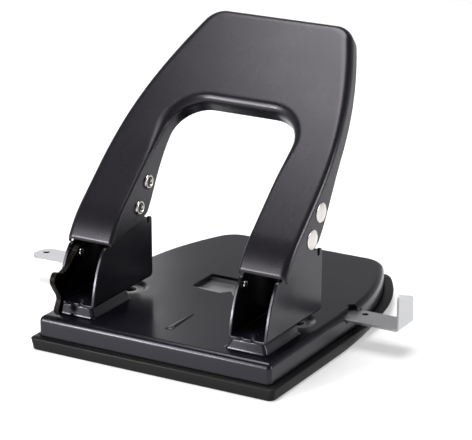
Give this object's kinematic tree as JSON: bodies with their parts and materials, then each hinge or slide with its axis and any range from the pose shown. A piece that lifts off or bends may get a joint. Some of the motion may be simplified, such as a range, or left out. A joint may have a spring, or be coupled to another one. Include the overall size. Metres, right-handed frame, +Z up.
{
  "type": "two-hole desk punch",
  "caption": "Desk punch for holes in paper: arch handle on pressed-steel brackets, sprung punches, side lock lever, sliding paper guide and a chip tray under the base.",
  "frame": {"origin": "centre of the base's footprint, on the surface the chip tray stands on", "axes": "+X to the right across the two holes, +Y from the mechanism side to the side the paper comes in from, +Z up"},
  "size_m": [0.181, 0.1389, 0.1222],
  "materials": {
    "black_paint": "gloss black paint on pressed steel",
    "textured_black": "satin black powder coat with a fine texture",
    "nickel": "nickel-plated steel",
    "zinc": "satin zinc plate",
    "hard_steel": "ground tool steel",
    "spring_steel": "drawn spring wire",
    "tray_plastic": "matte black moulded plastic",
    "lever_plastic": "satin black moulded plastic"
  },
  "bodies": {
    "tray": {"chip_tray": "tray_plastic"},
    "base": {"base_plate": "black_paint", "left_bracket": "black_paint", "right_bracket": "black_paint", "bracket_rivets": "black_paint", "left_die": "hard_steel", "right_die": "hard_steel", "left_punch_guide": "zinc", "right_punch_guide": "zinc", "left_wall_stud": "nickel", "right_wall_stud": "nickel", "guide_channel": "zinc", "guide_rivets": "nickel", "guide_spring": "spring_steel", "left_return_spring": "spring_steel", "right_return_spring": "spring_steel"},
    "handle": {"handle": "textured_black", "left_pivot_rivet": "nickel", "right_pivot_rivet": "nickel", "left_drive_rivet": "nickel", "right_drive_rivet": "nickel", "left_drive_roller": "hard_steel", "right_drive_roller": "hard_steel", "pivot_washers": "zinc", "lock_plate": "zinc"},
    "left_punch": {"left_punch": "hard_steel"},
    "right_punch": {"right_punch": "hard_steel"},
    "lever": {"lock_lever": "lever_plastic"},
    "guide": {"paper_guide": "zinc"}
  },
  "joints": [
    {"name": "base_lift", "type": "slide", "parent": "tray", "child": "base", "axis": [0, 0, 1], "range_m": [0, 0.03]},
    {"name": "handle_press", "type": "hinge", "parent": "base", "child": "handle", "pos_m": [0, -0.02575, 0.053], "axis": [-1, 0, 0], "range_deg": [0, 44], "stiffness_Nm_per_rad": 0.25, "springref_deg": -45.84},
    {"name": "left_punch_slide", "type": "slide", "parent": "base", "child": "left_punch", "axis": [0, 0, -1], "range_m": [0, 0.008], "deforming": ["left_return_spring"]},
    {"name": "right_punch_slide", "type": "slide", "parent": "base", "child": "right_punch", "axis": [0, 0, -1], "range_m": [0, 0.008], "deforming": ["right_return_spring"]},
    {"name": "lever_turn", "type": "hinge", "parent": "base", "child": "lever", "pos_m": [-0.045, -0.04775, 0.0382], "axis": [-1, 0, 0], "range_deg": [0, 6.38]},
    {"name": "guide_slide", "type": "slide", "parent": "base", "child": "guide", "axis": [1, 0, 0], "range_m": [-0.019, 0.042]}
  ],
  "couplings": [
    {"joint": "left_punch_slide", "follows": "handle_press", "m_per_rad": 0.0101},
    {"joint": "right_punch_slide", "follows": "handle_press", "m_per_rad": 0.0101}
  ]
}
